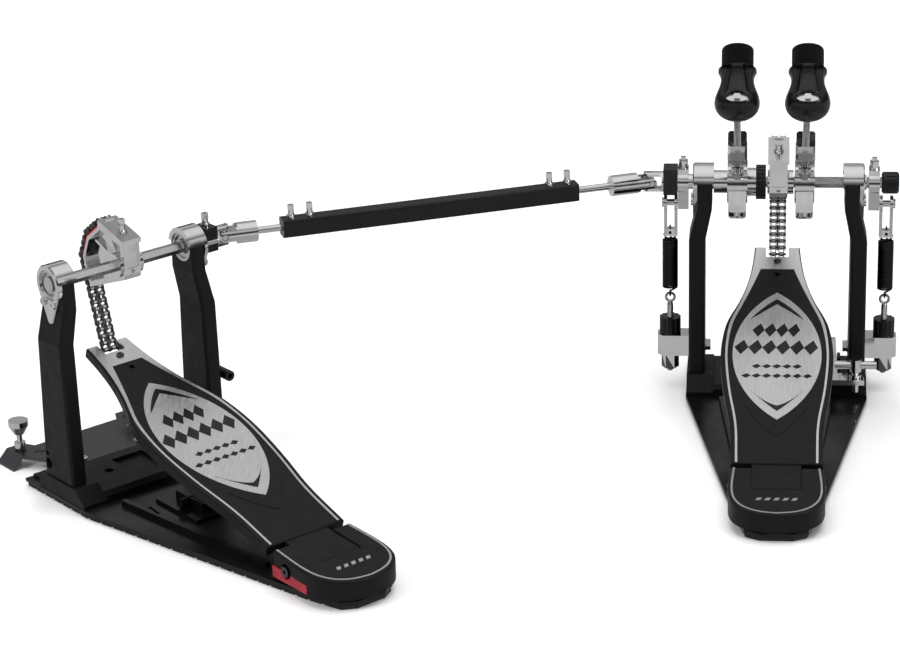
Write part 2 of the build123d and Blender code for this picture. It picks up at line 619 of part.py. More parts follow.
def spring_bracket():
    bracket = block(POST_OUT, 110.0, -10, 10, BRACKET_LOW, BRACKET_HIGH)
    bracket = chamfer(bracket.edges().filter_by(Axis.Z).group_by(Axis.X)[-1], 5.0)
    return bracket - rod_z(ROD_RADIUS + 0.02, 0, 100, SPRING_X)


def tension_rod():
    """Threaded rod with a square eye, whose cross bar the spring's loop turns on."""
    shank = rod_z(ROD_RADIUS, 16, EYE_HEIGHT - 8, SPRING_X)
    foot = block(SPRING_X - 5, SPRING_X + 5, -1.5, 1.5, EYE_HEIGHT - 9, EYE_HEIGHT - 6.4)
    legs = [rod_z(EYE_PIN, EYE_HEIGHT - 7, EYE_HEIGHT + 1.4, SPRING_X + side * 3.6) for side in (-1, 1)]
    bar = rod_x(EYE_PIN, SPRING_X - 4.8, SPRING_X + 4.8, 0, EYE_HEIGHT)
    return shank + foot + legs[0] + legs[1] + bar


def lock_nut():
    return hex_z(14, 20, BRACKET_LOW, SPRING_X) - rod_z(ROD_RADIUS, 0, 100, SPRING_X)


def tension_knob():
    knob = rod_z(9.8, BRACKET_HIGH + GAP, 70, SPRING_X)
    for step in range(12):
        angle = math.radians(step * 30)
        knob -= rod_z(1.3, 56, 71, SPRING_X + 10.2 * math.cos(angle), 10.2 * math.sin(angle))
    return knob - rod_z(ROD_RADIUS + FIT, 0, 100, SPRING_X)


def bracket_bolt():
    """Hex bolt through the post that holds the spring bracket."""
    return hex_x(9, POST_IN - 5, POST_IN, 0, 42) + rod_x(5.6, POST_IN - 1.2, POST_IN, 0, 42)


def cap_screws():
    """The two socket screws of a cap, one larger than the other."""
    screws = []
    for y, z, radius in ((-7.2, 186.0, 4.2), (7.2, 185.5, 3.4)):
        head = rod_x(radius, CAP_OUT, CAP_OUT + 2, y, z)
        screws.append(head - hex_x(radius * 0.77, CAP_OUT + 0.8, CAP_OUT + 3, y, z))
    return screws


# ---------------------------------------------------------------- universal joints and shaft
def yoke(body_length):
    """A slotted yoke along +X: its pin is vertical, at the origin, and the body lies on the far side."""
    body = rod_x(YOKE_RADIUS, -6, body_length, 0, 0)
    body -= block(-7, YOKE_FLOOR, -20, 20, -YOKE_SLOT, YOKE_SLOT)
    arms = block(0, YOKE_FLOOR, -YOKE_ARM, YOKE_ARM, -20, 20) + rod_z(YOKE_ARM, -20, 20)
    body &= arms + block(YOKE_FLOOR - 1.5, body_length, -20, 20, -20, 20)
    return body - rod_z(CROSS_PIN + PIN_PLAY, -20, 20)


def cross():
    """Joint cross with a vertical pin and a horizontal one, before it is turned with the shaft."""
    core = block(-4, 4, -4, 4, -4, 4)
    return core + rod_z(CROSS_PIN, -9.2, 9.2) + rod_y(CROSS_PIN, -9.2, 9.2)


def shaft_end(body_length, rod_end):
    """Horizontal-pin yoke with the round rod that lies in the tube."""
    return Rot(90, 0, 0) * yoke(body_length) + rod_x(SHAFT_ROD_RADIUS, body_length, rod_end, 0, 0)


# ---------------------------------------------------------------- stabiliser plate and hoop clamp
def stabiliser_plate():
    """Plate in front of the slave pedal, with a wing down to the floor at each side."""
    right = STABILISER_HALF_OUTLINE
    left = [(-x, y) for x, y in reversed(right)]
    plate = prism_xy(right + left, LEDGE_TOP, STABILISER_TOP)
    inner = right[2][0]
    wing_side = [(inner, LEDGE_TOP), (inner, STABILISER_TOP), (WING_OUT, 2.5), (WING_OUT, 0), (WING_OUT - 2.5, 0)]
    for side in (-1, 1):
        wing = make_face(Polyline(*[(side * x, right[2][1], z) for x, z in wing_side], close=True))
        plate += extrude(wing, WING_WIDTH, dir=(0, 1, 0))
        plate -= rod_z(SPUR_RADIUS + FIT, 0, 20, side * SPUR_X, SPUR_Y)
        plate -= Pos(side * 47, 84, 11) * Rot(0, 0, side * 35) * Box(12, 4, 10)
    return plate


def stabiliser_screw(x):
    """Slotted dome screw that holds the stabiliser plate to the base."""
    dome = rod_z(4.6, STABILISER_TOP, STABILISER_TOP + 2.4, x, 43)
    return dome - block(x - 5, x + 5, 42.4, 43.6, STABILISER_TOP + 1.4, STABILISER_TOP + 4)


def spur_screw(x):
    shank = rod_z(SPUR_RADIUS, 2.8, 27, x, SPUR_Y)
    tip = Pos(x, SPUR_Y, 1.8) * Cone(0.6, SPUR_RADIUS, 2.0)
    waist = rod_z(5.2, 14.0, 19, x, SPUR_Y)
    head = Pos(x, SPUR_Y, 31) * Cone(4.5, 9.0, 8) + rod_z(9.0, 35, 40, x, SPUR_Y)
    return shank + tip + waist + head


def lever_seat():
    """Two lugs on the main crossbar and the pin the clamp's lever rocks on."""
    y, z = LEVER_PIVOT
    near, far = LEVER_IN - 0.4, LEVER_OUT + 0.4
    seat = rod_x(LEVER_PIN, near - LUG_WIDTH, far + LUG_WIDTH, y, z)
    for x in (near - LUG_WIDTH, far):
        seat += block(x, x + LUG_WIDTH, y - 7, y + 7, CROSSBAR_TOP - 1, 30)
    return seat


def clamp_lever():
    lever = prism_yz(LEVER_SIDE, LEVER_IN, LEVER_OUT) + block(LEVER_IN, 80, -50, -33, 23, 28)
    lever -= rod_x(LEVER_PIN + FIT, 40, 90, *LEVER_PIVOT)
    return lever - rod_z(TEE_SCREW + FIT, 0, 60, TEE_X, TEE_Y)


def clamp_tee():
    tee = rod_z(TEE_SCREW, 14.0, TEE_HEIGHT, TEE_X, TEE_Y)
    tee += rod_x(3.8, TEE_X - TEE_ARM, TEE_X + TEE_ARM, TEE_Y, TEE_HEIGHT)
    tee += rod_z(5.5, 28 + GAP, 31, TEE_X, TEE_Y)
    return tee + rod_z(5.4, TEE_HEIGHT - 6, TEE_HEIGHT + 6, TEE_X, TEE_Y)


def tuning_key():
    """Drum key in its holder on the slave pedal's post."""
    tube = rod_y(4.8, -23, 19, KEY_X, 79) - rod_y(2.4, -24, -14, KEY_X, 79)
    clip = block(POST_OUT, KEY_X + 2.5, 2, 16, 58, 79) - rod_y(4.8, -30, 30, KEY_X, 79)
    foot = block(POST_OUT, KEY_X + 1, 4, 14, 45, 58)
    return tube, clip, foot


# ================================================================ build: frames
def on_both(solid):
    return [pedal * solid for pedal in PEDALS]


def pair(solid):
    return [solid, mirrored(solid)]


def on_all_sides(solid):
    return [pedal * piece for pedal in PEDALS for piece in pair(solid)]


save("base_plates", *on_both(base_plate()))
save("rubber_soles", *on_both(rubber_sole()))
save("crossbars", crossbar() + lever_seat(), SLAVE * crossbar())
save("posts", *on_all_sides(post()))
save("post_caps", *on_all_sides(post_cap()))
save("axle_bearings", *on_all_sides(bearing()))
save("heel_plates", *on_both(heel_plate()))
save("heel_inserts", *on_all_sides(heel_insert()))

screws = on_both(hinge_screw()) + pair(bracket_bolt()) + pair(lock_nut())
for screw in cap_screws():
    screws += on_all_sides(screw)
screws += [SLAVE * stabiliser_screw(x) for x in (-30, 30)]
save("frame_screws", *screws)

save("spring_brackets", *pair(spring_bracket()), *[SLAVE * piece for piece in tuning_key()])
save("tension_rods", *pair(tension_rod()))
save("tension_knob_right", tension_knob())
save("tension_knob_left", mirrored(tension_knob()))
save("stabiliser_plate", SLAVE * stabiliser_plate())
save("spur_screw_left", SLAVE * spur_screw(-SPUR_X))
save("spur_screw_right", SLAVE * spur_screw(SPUR_X))
save("hoop_clamp_lever", clamp_lever())
save("hoop_clamp_bolt", clamp_tee())

# ================================================================ build: footboards
for name, angle, pedal in (("main", MAIN_BOARD_ANGLE, MAIN), ("slave", SLAVE_BOARD_ANGLE, SLAVE)):
    board, trim = footboard(angle)
    save(f"{name}_footboard", pedal * board)
    save(f"{name}_footboard_trim", *[pedal * piece for piece in trim])

# ================================================================ build: axles, cams and chains
main_axle = hex_x(HEX_FLATS, -11.0, 93.2) + rod_x(JOURNAL_RADIUS, 59.0, 79.5) + rod_x(PILOT_RADIUS, -84.0, -11.0)
slave_axle = hex_x(HEX_FLATS, -76.0, 92.0)
slave_axle += rod_x(JOURNAL_RADIUS, 59.0, 79.5) + rod_x(JOURNAL_RADIUS, -76.5, -59.0)
cam_bolt = key_bolt_z(0, -1, AXLE_HEIGHT + 28.4, 3.6, 12.5)
cam_bolt = cam_bolt - cam_metal(main_axle)

for name, axle, pedal, toe in (
    ("main", main_axle, MAIN, MAIN_TOE_PIN),
    ("slave", slave_axle, SLAVE, SLAVE_TOE_PIN),
):
    save(f"{name}_axle_rod", pedal * axle)
    save(f"{name}_cam", pedal * cam_metal(axle))
    save(f"{name}_cam_felt", pedal * cam_felt())
    save(f"{name}_chain_wrap", pedal * chain_section(CHAIN_TOP, CHAIN_MID, last="pin"))
    save(f"{name}_chain_link", pedal * chain_section(CHAIN_MID, CHAIN_LOW, first="eye"))
    save(f"{name}_chain_run", pedal * chain_section(CHAIN_LOW, toe, first="eye"))

save("main_axle_bolts", cam_bolt, rocker_key(), *beater_bolts(*RIGHT_HUB))
save("right_beater_hub", beater_hub(*RIGHT_HUB, main_axle))
save("right_spring_rocker", rocker(main_axle))
knob = rod_x(10.0, 93.2, 108.7)
knob = chamfer(knob.edges().filter_by(GeomType.CIRCLE), 1.5)
for step in range(14):
    angle = 2 * math.pi * step / 14
    knob -= rod_x(1.1, 97, 110, 10.2 * math.cos(angle), AXLE_HEIGHT + 10.2 * math.sin(angle))
save("right_axle_knob", knob)

# ================================================================ build: second beater on its own sleeve
sleeve = rod_x(JOURNAL_RADIUS, -104.5, -58.6) + rod_x(10.5, -58.6, -28.0) + rod_x(13.0, -28.0, -20.4)
ring = rod_x(15.8, -20.4, -11.4)
for step in range(24):
    angle = math.radians(step * 15)
    ring -= rod_x(0.9, -21, -11, 15.9 * math.cos(angle), AXLE_HEIGHT + 15.9 * math.sin(angle))
sleeve += ring
sleeve -= rod_x(PILOT_RADIUS + FIT, -85.0, 0)
save("left_hub_sleeve", sleeve)
save("left_beater_hub", beater_hub(*LEFT_HUB, rod_x(10.5, -60, -20)))
sleeve_stub = rod_x(JOURNAL_RADIUS, -104.5, -58.6)
save("left_spring_rocker", mirrored(rocker(mirrored(sleeve_stub))))
save("left_hub_bolts", mirrored(rocker_key()), *beater_bolts(*LEFT_HUB))
for side, hub in (("left", LEFT_HUB), ("right", RIGHT_HUB)):
    save(f"{side}_beater_stem", beater_stem(*hub))
    save(f"{side}_beater_head", beater_head(*hub))
    save(f"{side}_beater_felt", beater_felt(*hub))

save("right_swing_hook", swing_hook())
save("left_swing_hook", mirrored(swing_hook()))
save("right_spring", spring())
save("left_spring", mirrored(spring()))

# ================================================================ build: drive shaft
clamp_block = block(-104.5, -91.6, -10, 10, -10 + AXLE_HEIGHT, 14 + AXLE_HEIGHT)
main_yoke = Pos(MAIN_JOINT_X, 0, AXLE_HEIGHT) * yoke(-91.6 - MAIN_JOINT_X)
main_yoke = main_yoke + clamp_block - sleeve_stub
save("left_joint_yoke", main_yoke)
slave_yoke = Pos(SLAVE_JOINT_X, 0, AXLE_HEIGHT) * Rot(0, 0, 180) * yoke(SLAVE_JOINT_X - 80.5)
slave_yoke += block(80.5, 93.0, -9, 9, AXLE_HEIGHT - 9, AXLE_HEIGHT + 13)
save("slave_joint_yoke", SLAVE * (slave_yoke - slave_axle))
block_bolt = key_bolt_z(86.5, 0, AXLE_HEIGHT + 13, 3.0, 12.0)
save("slave_axle_bolts", *[SLAVE * piece for piece in (cam_bolt, block_bolt)])

save("main_joint_cross", SHAFT * cross())
far_end = Pos(SHAFT_SPAN, 0, 0)
save("slave_joint_cross", SHAFT * far_end * cross())
near_fork = shaft_end(37.0, 180)
far_fork = far_end * Rot(0, 0, 180) * shaft_end(30.0, 150)
save("shaft_ends", SHAFT * near_fork, SHAFT * far_fork)
half_side = TUBE_SIDE / 2
tube = block(TUBE_START, TUBE_END, -half_side, half_side, -half_side, half_side)
tube = fillet(tube.edges().filter_by(Axis.X), 2.5)
tube -= rod_x(SHAFT_ROD_RADIUS, 0, 400, 0, 0)
save("shaft_tube", SHAFT * tube)
bolt_places = (TUBE_START + 9, TUBE_START + 26, TUBE_END - 26, TUBE_END - 9)
save("shaft_bolts", *[SHAFT * key_bolt_z(x, 0, half_side, 2.8, 12.0) for x in bolt_places])
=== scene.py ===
"""Looks for the double bass drum pedal: camera, light, materials and the fine pieces CAD leaves plain."""
import bpy
import bmesh
import json
import math
from mathutils import Matrix, Vector


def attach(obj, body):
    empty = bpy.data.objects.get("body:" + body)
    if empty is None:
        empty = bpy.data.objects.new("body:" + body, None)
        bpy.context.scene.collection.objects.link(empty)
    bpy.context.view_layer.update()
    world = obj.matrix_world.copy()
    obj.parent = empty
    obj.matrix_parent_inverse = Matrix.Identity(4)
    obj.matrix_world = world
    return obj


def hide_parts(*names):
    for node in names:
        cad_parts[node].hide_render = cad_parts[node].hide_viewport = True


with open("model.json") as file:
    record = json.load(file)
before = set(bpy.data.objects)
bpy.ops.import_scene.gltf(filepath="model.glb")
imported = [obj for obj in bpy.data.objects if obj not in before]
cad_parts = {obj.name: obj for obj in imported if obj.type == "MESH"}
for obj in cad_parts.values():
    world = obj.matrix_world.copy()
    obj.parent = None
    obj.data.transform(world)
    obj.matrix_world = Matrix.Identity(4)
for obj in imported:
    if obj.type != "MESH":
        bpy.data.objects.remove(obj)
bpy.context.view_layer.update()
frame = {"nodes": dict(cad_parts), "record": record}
NODES = frame["nodes"]

# ---------------------------------------------------------------- sizes shared with the CAD model
AXLE_HEIGHT = 0.202
BEND = math.radians(22.5)
SLAVE_TURN = 2 * BEND
MAIN_JOINT_X = -0.118
SLAVE_JOINT_X = 0.105
SHAFT_SPAN = 0.399
SLAVE_X = MAIN_JOINT_X - SHAFT_SPAN * math.cos(BEND) - SLAVE_JOINT_X * math.cos(SLAVE_TURN)
SLAVE_Y = -SHAFT_SPAN * math.sin(BEND) - SLAVE_JOINT_X * math.sin(SLAVE_TURN)
MAIN = Matrix.Identity(4)
SLAVE = Matrix.Translation((SLAVE_X, SLAVE_Y, 0)) @ Matrix.Rotation(SLAVE_TURN, 4, "Z")

BOARD_START = Vector((0, -0.249, 0.0323))
TOE_SCREW = 0.2769
BOARD_ANGLE = {"main": math.radians(18.3), "slave": math.radians(16.6)}

CHAIN_WIDTH = 0.015
CHAIN_PITCH = 0.00635
CHAIN_POINTS = [(0.027, 0.033), (0.047, 0.018), (0.058, -0.006)]
TOE_PIN = {"main": (0.030, -0.081), "slave": (0.033, -0.089)}

SPRING_X = 0.0985
COIL_RADIUS = 0.0064
WIRE_RADIUS = 0.0009
COIL_LOW, COIL_HIGH = 0.098, 0.147
COIL_TURNS = 24
COIL_STEPS = 20
EYE_HEIGHT = 0.093
LOOP_RADIUS = 0.0024
RING_RADIUS = 0.004
HOOK_RING = 0.1515
SHANK_TOP = 0.1598
THREAD_TOP = 0.083
THREAD_PITCH = 0.0012

KNURL_X = -0.0206
LOCK_BLOCK_X = -0.1047
KNURL_INNER = 0.012            # the sleeve's knurled ring begins outside this radius
SLAVE_BLOCK_END = 0.0932
KEY_X, KEY_Z = 0.088, 0.079
KEY_RADIUS = 0.0052
KEY_FOOT_X, KEY_FOOT_TOP = 0.085, 0.0582
HINGE_SCREWS = (0.0150, 0.0260)     # heights between which the frame's screws are the hinge screws
TOE_SCREW_EDGE = 0.0036

HEEL_FRONT, HEEL_TOP = -0.257, 0.0323
HEEL_FALL = math.radians(4.0)
# the heel's edge line in the plane of its top, measured back from its front edge
HEEL_LINE = [
    (0.0362, -0.0010), (0.0374, -0.0180), (0.0380, -0.0350), (0.0373, -0.0485), (0.0346, -0.0590),
    (0.0290, -0.0683), (0.0206, -0.0749), (0.0105, -0.0786), (0, -0.0797),
]
# rows of lozenges on the bright plate: distance along the board, how many, half width, half height
PATTERN_ROWS = [
    (0.178, 4, 0.0047, 0.0095),
    (0.154, 6, 0.0055, 0.0100),
    (0.128, 5, 0.0040, 0.0030),
    (0.115, 7, 0.0040, 0.0030),
]
# chevrons on the bright plate: tip, inner tip and ends of the arms along the board
CHEVRONS = [(0.2219, 0.2150, 0.1929), (0.0681, 0.0751, 0.0971)]
CHEVRON_ARM = 0.0242
CHEVRON_BOW = 0.0035
LOZENGE_PITCH = 2.25          # in half widths
LOZENGE_SLANT = 0.15
MARK_LOW, MARK_HIGH = 0.0002, 0.0005
HEEL_BARS = 5
HEEL_BAR_PITCH = 0.0075
HEEL_BAR = [(-0.0030, -0.0582), (0.0010, -0.0582), (0.0030, -0.0538), (-0.0010, -0.0538)]


# ---------------------------------------------------------------- camera
def add_camera():
    """Long lens from the player's side, a little above the beaters."""
    yaw, pitch, roll = 0.1090, 0.3746, -0.0292
    forward = Vector((-math.sin(yaw) * math.cos(pitch), math.cos(yaw) * math.cos(pitch), -math.sin(pitch)))
    right = Vector((math.cos(yaw), math.sin(yaw), 0))
    up = right.cross(forward)
    x_axis = right * math.cos(roll) + up * math.sin(roll)
    y_axis = -right * math.sin(roll) + up * math.cos(roll)
    camera = bpy.data.objects.new("camera", bpy.data.cameras.new("camera"))
    camera.data.lens = 121.49
    camera.data.sensor_width = 36
    camera.data.sensor_fit = "HORIZONTAL"
    camera.data.clip_end = 50
    rotation = Matrix((x_axis, y_axis, -forward)).transposed().to_4x4()
    camera.matrix_world = Matrix.Translation((-0.016147, -2.6379, 1.10027)) @ rotation
    bpy.context.scene.collection.objects.link(camera)
    bpy.context.scene.camera = camera


# ---------------------------------------------------------------- materials
class Surface:
    """A Principled material with its detail built from object-space noise."""

    def __init__(self, name, colour, metallic=0.0, roughness=0.5, **sockets):
        self.material = bpy.data.materials.new(name)
        self.material.use_nodes = True
        self.tree = self.material.node_tree
        self.shader = self.tree.nodes["Principled BSDF"]
        self.colour = colour
        self.shader.inputs["Base Color"].default_value = (*colour, 1)
        self.shader.inputs["Metallic"].default_value = metallic
        self.shader.inputs["Roughness"].default_value = roughness
        for key, value in sockets.items():
            self.shader.inputs[key.replace("_", " ")].default_value = value
        self.place = self.tree.nodes.new("ShaderNodeTexCoord").outputs["Object"]
        self.normal = None

    def link(self, source, target):
        self.tree.links.new(source, target)

    def noise(self, scale, detail=3.0, stretch=(1, 1, 1)):
        """Noise of this many grains a metre, drawn out along an axis where its stretch is small."""
        mapping = self.tree.nodes.new("ShaderNodeMapping")
        mapping.inputs["Scale"].default_value = stretch
        node = self.tree.nodes.new("ShaderNodeTexNoise")
        node.inputs["Scale"].default_value = scale
        node.inputs["Detail"].default_value = detail
        self.link(self.place, mapping.inputs["Vector"])
        self.link(mapping.outputs["Vector"], node.inputs["Vector"])
        return node.outputs["Fac"]

    def spread(self, source, low, high):
        """The source's middle range spread between two values."""
        node = self.tree.nodes.new("ShaderNodeMapRange")
        node.inputs["From Min"].default_value = 0.3
        node.inputs["From Max"].default_value = 0.7
        node.inputs["To Min"].default_value = low
        node.inputs["To Max"].default_value = high
        self.link(source, node.inputs["Value"])
        return node.outputs["Result"]

    def vary_colour(self, source, amount):
        """Lightens and darkens the colour by this share."""
        ramp = self.tree.nodes.new("ShaderNodeValToRGB")
        ramp.color_ramp.elements[0].position = 0.3
        ramp.color_ramp.elements[1].position = 0.7
        for element, factor in zip(ramp.color_ramp.elements, (1 - amount, 1 + amount)):
            element.color = (*[min(1, c * factor) for c in self.colour], 1)
        self.link(source, ramp.inputs["Fac"])
        self.link(ramp.outputs["Color"], self.shader.inputs["Base Color"])
        return self

    def vary_roughness(self, source, low, high):
        self.link(self.spread(source, low, high), self.shader.inputs["Roughness"])
        return self

    def bump(self, source, depth, strength=0.5):
        node = self.tree.nodes.new("ShaderNodeBump")
        node.inputs["Distance"].default_value = depth
        node.inputs["Strength"].default_value = strength
        self.link(source, node.inputs["Height"])
        if self.normal is not None:
            self.link(self.normal, node.inputs["Normal"])
        self.normal = node.outputs["Normal"]
        self.link(self.normal, self.shader.inputs["Normal"])
        return self


def powder_coat():
    look = Surface("powder_coat", (0.006, 0.006, 0.007), roughness=0.45, Specular_IOR_Level=0.2)
    grain = look.noise(1500, 2)
    look.vary_colour(grain, 0.35).vary_roughness(look.noise(90), 0.36, 0.5)
    return look.bump(grain, 0.00022, 0.55).bump(look.noise(420, 2), 0.0002, 0.2).material


def sheet_black():
    look = Surface("sheet_black", (0.004, 0.004, 0.0045), roughness=0.3, Specular_IOR_Level=0.35)
    look.vary_colour(look.noise(40), 0.3).vary_roughness(look.noise(22, 5), 0.2, 0.34)
    return look.bump(look.noise(900, 2), 0.00005, 0.25).material


def chrome():
    look = Surface("chrome", (0.78, 0.785, 0.79), metallic=1.0, roughness=0.1)
    look.vary_colour(look.noise(60), 0.05).vary_roughness(look.noise(140, 4), 0.06, 0.16)
    look.bump(look.noise(250, 3), 0.00012, 0.12)
    return look.bump(look.noise(1500, 2, (1, 0.1, 1)), 0.00002, 0.2).material


def bright_steel():
    look = Surface("bright_steel", (0.66, 0.665, 0.67), metallic=1.0, roughness=0.22)
    brushed = look.noise(2600, 3, (0.04, 1, 1))
    look.vary_colour(brushed, 0.12).vary_roughness(brushed, 0.16, 0.32)
    return look.bump(brushed, 0.00004, 0.3).material


def brushed_alloy():
    look = Surface("brushed_alloy", (0.84, 0.84, 0.845), metallic=1.0, roughness=0.34)
    brushed = look.noise(2400, 3, (1, 0.03, 0.03))
    look.vary_colour(brushed, 0.14).vary_roughness(brushed, 0.28, 0.42)
    return look.bump(brushed, 0.00004, 0.35).material


def rubber():
    look = Surface("rubber", (0.014, 0.014, 0.014), roughness=0.75)
    look.vary_colour(look.noise(200), 0.25).vary_roughness(look.noise(60), 0.65, 0.85)
    return look.bump(look.noise(1200, 3), 0.0001, 0.4).material


def black_plastic():
    look = Surface("black_plastic", (0.005, 0.005, 0.0055), roughness=0.25, Specular_IOR_Level=0.4)
    look.vary_colour(look.noise(80), 0.3).vary_roughness(look.noise(70, 4), 0.18, 0.32)
    return look.bump(look.noise(500, 2), 0.00006, 0.25).material


def felt(name, colour):
    sheen = {"Sheen_Weight": 0.04, "Sheen_Roughness": 0.5}
    look = Surface(name, colour, roughness=0.95, Specular_IOR_Level=0.15, **sheen)
    fibres = look.noise(1300, 6)
    look.vary_colour(fibres, 0.5).vary_roughness(look.noise(300), 0.85, 1.0)
    return look.bump(fibres, 0.0006, 0.8).bump(look.noise(220, 3), 0.0008, 0.4).material


def red_plastic():
    look = Surface("red_plastic", (0.30, 0.006, 0.020), roughness=0.35)
    look.vary_colour(look.noise(120), 0.15).vary_roughness(look.noise(200), 0.28, 0.42)
    return look.bump(look.noise(900, 2), 0.00006, 0.3).material


def dark_steel(name, colour, roughness):
    look = Surface(name, colour, metallic=1.0, roughness=roughness)
    grain = look.noise(700, 3)
    look.vary_colour(grain, 0.25).vary_roughness(grain, roughness - 0.08, roughness + 0.12)
    return look.bump(grain, 0.00005, 0.3).material


LOOKS = {
    "powder_coat": powder_coat(),
    "sheet_black": sheet_black(),
    "chrome": chrome(),
    "bright_steel": bright_steel(),
    "brushed_alloy": brushed_alloy(),
    "rubber": rubber(),
    "black_plastic": black_plastic(),
    "felt_black": felt("felt_black", (0.002, 0.002, 0.0022)),
    "felt_red": felt("felt_red", (0.42, 0.02, 0.03)),
    "red_plastic": red_plastic(),
    "chain_steel": dark_steel("chain_steel", (0.10, 0.10, 0.105), 0.34),
    "spring_black": dark_steel("spring_black", (0.035, 0.035, 0.038), 0.3),
    "dark_steel": dark_steel("dark_steel", (0.12, 0.12, 0.13), 0.3),
}


def dress_cad_nodes():
    """Every CAD node gets the material of its slot in the record."""
    for part in frame["record"]["subparts"]:
        mesh = NODES[part["node"]].data
        mesh.materials.clear()
        mesh.materials.append(LOOKS[part["material_slot"]])


# ---------------------------------------------------------------- mesh helpers
def add_piece(name, mesh_data, slot, body, smooth=True):
    mesh = bpy.data.meshes.new(name)
    mesh_data.to_mesh(mesh)
    mesh_data.free()
    mesh.materials.append(LOOKS[slot])
    piece = bpy.data.objects.new(name, mesh)
    bpy.context.scene.collection.objects.link(piece)
    for face in mesh.polygons:
        face.use_smooth = smooth
    if smooth:
        mesh.set_sharp_from_angle(angle=math.radians(35))
    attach(piece, body)
    return piece


def sweep(mesh, path, radius, sides=10):
    """A round tube through the points of a path, added to the mesh."""
    rings = []
    side = None
    for i, point in enumerate(path):
        ahead = path[min(i + 1, len(path) - 1)] - path[max(i - 1, 0)]
        ahead.normalize()
        if side is None:
            side = ahead.orthogonal().normalized()
        side = (side - ahead * side.dot(ahead)).normalized()
        other = ahead.cross(side)
        ring = []
        for k in range(sides):
            angle = 2 * math.pi * k / sides
            ring.append(mesh.verts.new(point + (side * math.cos(angle) + other * math.sin(angle)) * radius))
        rings.append(ring)
    for low, high in zip(rings, rings[1:]):
        for k in range(sides):
            mesh.faces.new((low[k], low[(k + 1) % sides], high[(k + 1) % sides], high[k]))
    mesh.faces.new(list(reversed(rings[0])))
    mesh.faces.new(rings[-1])


def add_prism(mesh, outline, place, low, high):
    """The outline, given in a plane, extruded between two heights and put in place by a matrix."""
    bottom = [mesh.verts.new(place @ Vector((x, y, low))) for x, y in outline]
    top = [mesh.verts.new(place @ Vector((x, y, high))) for x, y in outline]
    count = len(outline)
    for k in range(count):
        mesh.faces.new((bottom[k], bottom[(k + 1) % count], top[(k + 1) % count], top[k]))
    mesh.faces.new(list(reversed(bottom)))
    mesh.faces.new(top)


def paint(node, slot, chosen):
    """Gives the faces of a CAD node whose centres are chosen the finish of another slot."""
    mesh = NODES[node].data
    mesh.materials.append(LOOKS[slot])
    index = len(mesh.materials) - 1
    for face in mesh.polygons:
        if chosen(face.center):
            face.material_index = index


def paint_black_parts():
    """Moulded black pieces and dark screws that share a CAD node with a polished neighbour."""
    to_slave = SLAVE.inverted()
    paint("frame_screws", "dark_steel", lambda c: HINGE_SCREWS[0] < c.z < HINGE_SCREWS[1])
    for pedal, place in (("main", MAIN), ("slave", SLAVE)):
        to_board = board_place(pedal, place).inverted()
        screw = Vector((0, TOE_SCREW))
        trim = f"{pedal}_footboard_trim"
        paint(trim, "dark_steel", lambda c: ((to_board @ c).xy - screw).length < TOE_SCREW_EDGE)

    def is_knurled_ring(c):
        return c.x > KNURL_X and math.hypot(c.y, c.z - AXLE_HEIGHT) > KNURL_INNER

    def is_slave_block(c):
        return (to_slave @ c).x < SLAVE_BLOCK_END and abs((to_slave @ c).z - AXLE_HEIGHT) > 0.002

    def is_tuning_key(c):
        x = (to_slave @ c).x
        is_tube = math.hypot(x - KEY_X, c.z - KEY_Z) < KEY_RADIUS
        return is_tube or (abs(x - KEY_FOOT_X) < 0.005 and c.z < KEY_FOOT_TOP)

    paint("left_hub_sleeve", "black_plastic", is_knurled_ring)
    paint("left_joint_yoke", "black_plastic", lambda c: c.x > LOCK_BLOCK_X)
    paint("slave_joint_yoke", "black_plastic", is_slave_block)
    paint("spring_brackets", "black_plastic", is_tuning_key)


# ---------------------------------------------------------------- springs and tension rods
def add_spring(side):
    """Closely wound coil that turns on the tension rod's eye; it keeps its rest length as it swings."""
    x = SPRING_X if side == "right" else -SPRING_X
    mesh = bmesh.new()
    path = []
    for step in range(10):
        angle = math.radians(-60 - 30 * step)
        path.append(Vector((x, LOOP_RADIUS * math.cos(angle), EYE_HEIGHT + LOOP_RADIUS * math.sin(angle))))
    span = COIL_HIGH - COIL_LOW - 2 * WIRE_RADIUS
    for i in range(COIL_TURNS * COIL_STEPS + 1):
        share = i / (COIL_TURNS * COIL_STEPS)
        angle = 2 * math.pi * COIL_TURNS * share
        height = COIL_LOW + WIRE_RADIUS + share * span
        path.append(Vector((x + COIL_RADIUS * math.cos(angle), COIL_RADIUS * math.sin(angle), height)))
    path += [Vector((x + 0.001, 0, COIL_HIGH + 0.0004)), Vector((x, 0, COIL_HIGH + 0.003))]
    path.append(Vector((x, 0, SHANK_TOP)))
    sweep(mesh, path, WIRE_RADIUS, 8)
    coil = add_piece(f"{side}_spring_coil", mesh, "spring_black", f"{side}_coil")
    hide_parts(f"{side}_spring")
    ring = bmesh.new()
    arc = [math.radians(180 + 12 * step) for step in range(16)]
    points = [Vector((x + 0.0055 * math.cos(a), 0, HOOK_RING + 0.0055 * math.sin(a))) for a in arc]
    sweep(ring, points, WIRE_RADIUS, 8)
    add_piece(f"{side}_hook_ring", ring, "spring_black", f"{side}_hook")


def lathe_z(mesh, profile, x, y, sides=32):
    """A turned solid about a vertical line; the profile is (radius, height) from bottom to top."""
    rings = []
    for radius, height in profile:
        ring = []
        for k in range(sides):
            angle = 2 * math.pi * k / sides
            ring.append(mesh.verts.new((x + radius * math.cos(angle), y + radius * math.sin(angle), height)))
        rings.append(ring)
    for low, high in zip(rings, rings[1:]):
        for k in range(sides):
            mesh.faces.new((low[k], low[(k + 1) % sides], high[(k + 1) % sides], high[k]))
    mesh.faces.new(list(reversed(rings[0])))
    mesh.faces.new(rings[-1])


